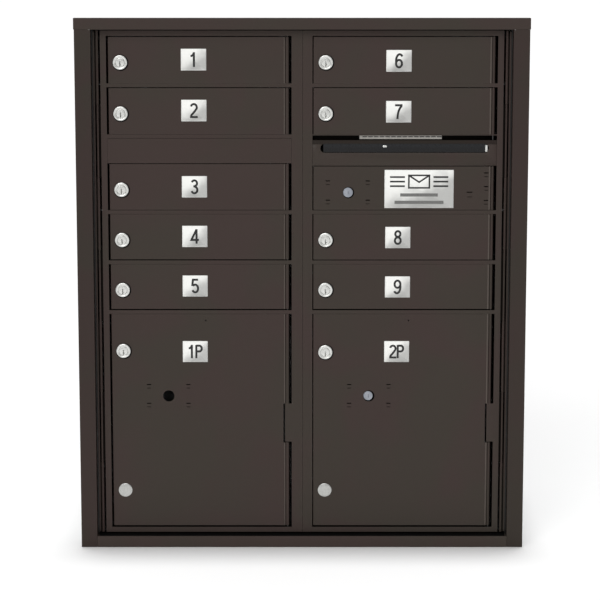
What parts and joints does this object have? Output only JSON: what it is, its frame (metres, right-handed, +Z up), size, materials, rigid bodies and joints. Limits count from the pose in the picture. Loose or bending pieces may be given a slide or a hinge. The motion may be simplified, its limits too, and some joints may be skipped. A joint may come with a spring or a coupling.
{
  "type": "cluster mailbox unit",
  "caption": "Recess-mounted cluster mailbox: two columns of lockable letter-box and parcel doors, with a mail slot, in two hinged master doors inside a wall cabinet with a trim frame.",
  "frame": {"origin": "centre of the bounding box at the bottom edge of the trim", "axes": "+Z up, -Y out of the wall towards the user, +X to the right of a user facing the doors"},
  "size_m": [0.7906, 0.4318, 0.9404],
  "materials": {
    "bronze_powder_coat": "dark bronze powder coat with a fine satin texture",
    "galvanised_steel": "plain galvanised sheet",
    "nickel_plate": "satin nickel plate",
    "plain_steel": "dark passivated rod and bar",
    "postal_lock_case": "grey die-cast case",
    "black_flap_plastic": "smooth dark plastic"
  },
  "bodies": {
    "cabinet": {"cabinet_shell": "galvanised_steel", "back_panel": "galvanised_steel", "center_partition": "galvanised_steel", "left_shelf_rack": "galvanised_steel", "right_shelf_rack": "galvanised_steel", "trim_top": "bronze_powder_coat", "trim_bottom": "bronze_powder_coat", "trim_left": "bronze_powder_coat", "trim_right": "bronze_powder_coat", "left_cabinet_hinge": "bronze_powder_coat", "right_cabinet_hinge": "bronze_powder_coat"},
    "left_master": {"left_master_door": "bronze_powder_coat", "left_door_rod": "plain_steel", "filler_panel": "bronze_powder_coat"},
    "left_slide_bolt": {"left_slide_bolt": "plain_steel"},
    "right_master": {"right_master_door": "bronze_powder_coat", "right_door_rod": "plain_steel", "mail_slot_hood": "bronze_powder_coat"},
    "slot_flap": {"slot_flap": "black_flap_plastic"},
    "latch_lever": {"latch_lever": "plain_steel"},
    "upper_latch_rod": {"upper_latch_rod": "plain_steel"},
    "lower_latch_rod": {"lower_latch_rod": "plain_steel"},
    "tenant_1": {"tenant_door_1": "bronze_powder_coat", "lock_body_1": "nickel_plate"},
    "lock_1": {"lock_cam_1": "nickel_plate"},
    "tenant_2": {"tenant_door_2": "bronze_powder_coat", "lock_body_2": "nickel_plate"},
    "lock_2": {"lock_cam_2": "nickel_plate"},
    "tenant_3": {"tenant_door_3": "bronze_powder_coat", "lock_body_3": "nickel_plate"},
    "lock_3": {"lock_cam_3": "nickel_plate"},
    "tenant_4": {"tenant_door_4": "bronze_powder_coat", "lock_body_4": "nickel_plate"},
    "lock_4": {"lock_cam_4": "nickel_plate"},
    "tenant_5": {"tenant_door_5": "bronze_powder_coat", "lock_body_5": "nickel_plate"},
    "lock_5": {"lock_cam_5": "nickel_plate"},
    "tenant_6": {"tenant_door_6": "bronze_powder_coat", "lock_body_6": "nickel_plate"},
    "lock_6": {"lock_cam_6": "nickel_plate"},
    "tenant_7": {"tenant_door_7": "bronze_powder_coat", "lock_body_7": "nickel_plate"},
    "lock_7": {"lock_cam_7": "nickel_plate"},
    "tenant_8": {"tenant_door_8": "bronze_powder_coat", "lock_body_8": "nickel_plate"},
    "lock_8": {"lock_cam_8": "nickel_plate"},
    "tenant_9": {"tenant_door_9": "bronze_powder_coat", "lock_body_9": "nickel_plate"},
    "lock_9": {"lock_cam_9": "nickel_plate"},
    "carrier": {"carrier_door": "bronze_powder_coat", "postal_lock_carrier": "postal_lock_case"},
    "parcel_1": {"parcel_door_p1": "bronze_powder_coat", "lock_body_p1": "nickel_plate", "hole_plug_p1": "nickel_plate"},
    "lock_p1": {"lock_cam_p1": "nickel_plate"},
    "parcel_2": {"parcel_door_p2": "bronze_powder_coat", "lock_body_p2": "nickel_plate", "hole_plug_p2": "nickel_plate", "postal_lock_p2": "postal_lock_case"},
    "lock_p2": {"lock_cam_p2": "nickel_plate"}
  },
  "joints": [
    {"name": "left_master_hinge", "type": "hinge", "parent": "cabinet", "child": "left_master", "pos_m": [-0.3567, -0.1955, 0.4708], "axis": [0, 0, -1], "range_deg": [0, 100]},
    {"name": "right_master_hinge", "type": "hinge", "parent": "cabinet", "child": "right_master", "pos_m": [0.3567, -0.1955, 0.4708], "axis": [0, 0, 1], "range_deg": [0, 100]},
    {"name": "tenant_1_hinge", "type": "hinge", "parent": "left_master", "child": "tenant_1", "pos_m": [-0.0254, -0.19428, 0.86805], "axis": [0, 0, 1], "range_deg": [0, 100]},
    {"name": "lock_1_turn", "type": "hinge", "parent": "tenant_1", "child": "lock_1", "pos_m": [-0.3165, -0.1979, 0.8634], "axis": [0, 1, 0], "range_deg": [0, 90]},
    {"name": "tenant_2_hinge", "type": "hinge", "parent": "left_master", "child": "tenant_2", "pos_m": [-0.0254, -0.19428, 0.77915], "axis": [0, 0, 1], "range_deg": [0, 100]},
    {"name": "lock_2_turn", "type": "hinge", "parent": "tenant_2", "child": "lock_2", "pos_m": [-0.3165, -0.1979, 0.7745], "axis": [0, 1, 0], "range_deg": [0, 90]},
    {"name": "tenant_3_hinge", "type": "hinge", "parent": "left_master", "child": "tenant_3", "pos_m": [-0.0254, -0.19428, 0.6458], "axis": [0, 0, 1], "range_deg": [0, 100]},
    {"name": "lock_3_turn", "type": "hinge", "parent": "tenant_3", "child": "lock_3", "pos_m": [-0.3165, -0.1979, 0.64115], "axis": [0, 1, 0], "range_deg": [0, 90]},
    {"name": "tenant_4_hinge", "type": "hinge", "parent": "left_master", "child": "tenant_4", "pos_m": [-0.0254, -0.19428, 0.5569], "axis": [0, 0, 1], "range_deg": [0, 100]},
    {"name": "lock_4_turn", "type": "hinge", "parent": "tenant_4", "child": "lock_4", "pos_m": [-0.3165, -0.1979, 0.55225], "axis": [0, 1, 0], "range_deg": [0, 90]},
    {"name": "tenant_5_hinge", "type": "hinge", "parent": "left_master", "child": "tenant_5", "pos_m": [-0.0254, -0.19428, 0.468], "axis": [0, 0, 1], "range_deg": [0, 100]},
    {"name": "lock_5_turn", "type": "hinge", "parent": "tenant_5", "child": "lock_5", "pos_m": [-0.3165, -0.1979, 0.46335], "axis": [0, 1, 0], "range_deg": [0, 90]},
    {"name": "tenant_6_hinge", "type": "hinge", "parent": "right_master", "child": "tenant_6", "pos_m": [0.3336, -0.19428, 0.86805], "axis": [0, 0, -1], "range_deg": [-100, 0]},
    {"name": "lock_6_turn", "type": "hinge", "parent": "tenant_6", "child": "lock_6", "pos_m": [0.0413, -0.1979, 0.8634], "axis": [0, 1, 0], "range_deg": [0, 90]},
    {"name": "tenant_7_hinge", "type": "hinge", "parent": "right_master", "child": "tenant_7", "pos_m": [0.3336, -0.19428, 0.77915], "axis": [0, 0, -1], "range_deg": [-100, 0]},
    {"name": "lock_7_turn", "type": "hinge", "parent": "tenant_7", "child": "lock_7", "pos_m": [0.0413, -0.1979, 0.7745], "axis": [0, 1, 0], "range_deg": [0, 90]},
    {"name": "tenant_8_hinge", "type": "hinge", "parent": "right_master", "child": "tenant_8", "pos_m": [0.3336, -0.19428, 0.5569], "axis": [0, 0, -1], "range_deg": [-100, 0]},
    {"name": "lock_8_turn", "type": "hinge", "parent": "tenant_8", "child": "lock_8", "pos_m": [0.0413, -0.1979, 0.55225], "axis": [0, 1, 0], "range_deg": [0, 90]},
    {"name": "tenant_9_hinge", "type": "hinge", "parent": "right_master", "child": "tenant_9", "pos_m": [0.3336, -0.19428, 0.468], "axis": [0, 0, -1], "range_deg": [-100, 0]},
    {"name": "lock_9_turn", "type": "hinge", "parent": "tenant_9", "child": "lock_9", "pos_m": [0.0413, -0.1979, 0.46335], "axis": [0, 1, 0], "range_deg": [0, 90]},
    {"name": "carrier_door_hinge", "type": "hinge", "parent": "right_master", "child": "carrier", "pos_m": [0.3336, -0.19428, 0.64365], "axis": [0, 0, -1], "range_deg": [-100, 0]},
    {"name": "parcel_1_hinge", "type": "hinge", "parent": "left_master", "child": "parcel_1", "pos_m": [-0.0254, -0.19428, 0.22623], "axis": [0, 0, 1], "range_deg": [0, 100]},
    {"name": "lock_p1_turn", "type": "hinge", "parent": "parcel_1", "child": "lock_p1", "pos_m": [-0.3165, -0.1979, 0.35395], "axis": [0, 1, 0], "range_deg": [0, 90]},
    {"name": "parcel_2_hinge", "type": "hinge", "parent": "right_master", "child": "parcel_2", "pos_m": [0.3336, -0.19428, 0.22623], "axis": [0, 0, -1], "range_deg": [-100, 0]},
    {"name": "lock_p2_turn", "type": "hinge", "parent": "parcel_2", "child": "lock_p2", "pos_m": [0.0413, -0.1979, 0.35165], "axis": [0, 1, 0], "range_deg": [0, 90]},
    {"name": "slot_flap_hinge", "type": "hinge", "parent": "right_master", "child": "slot_flap", "pos_m": [0.1794, -0.1933, 0.7236], "axis": [1, 0, 0], "range_deg": [0, 60]},
    {"name": "latch_lever_turn", "type": "hinge", "parent": "right_master", "child": "latch_lever", "pos_m": [0.028, -0.1779, 0.6442], "axis": [0, -1, 0], "range_deg": [0, 60]},
    {"name": "upper_latch_slide", "type": "slide", "parent": "right_master", "child": "upper_latch_rod", "axis": [0, 0, 1], "range_m": [0, 0.0121]},
    {"name": "lower_latch_slide", "type": "slide", "parent": "right_master", "child": "lower_latch_rod", "axis": [0, 0, -1], "range_m": [0, 0.0121]},
    {"name": "left_bolt_slide", "type": "slide", "parent": "left_master", "child": "left_slide_bolt", "axis": [0, 0, 1], "range_m": [0, 0.012]}
  ],
  "couplings": [
    {"joint": "upper_latch_slide", "follows": "latch_lever_turn", "m_per_rad": 0.011459},
    {"joint": "lower_latch_slide", "follows": "latch_lever_turn", "m_per_rad": 0.011459}
  ]
}
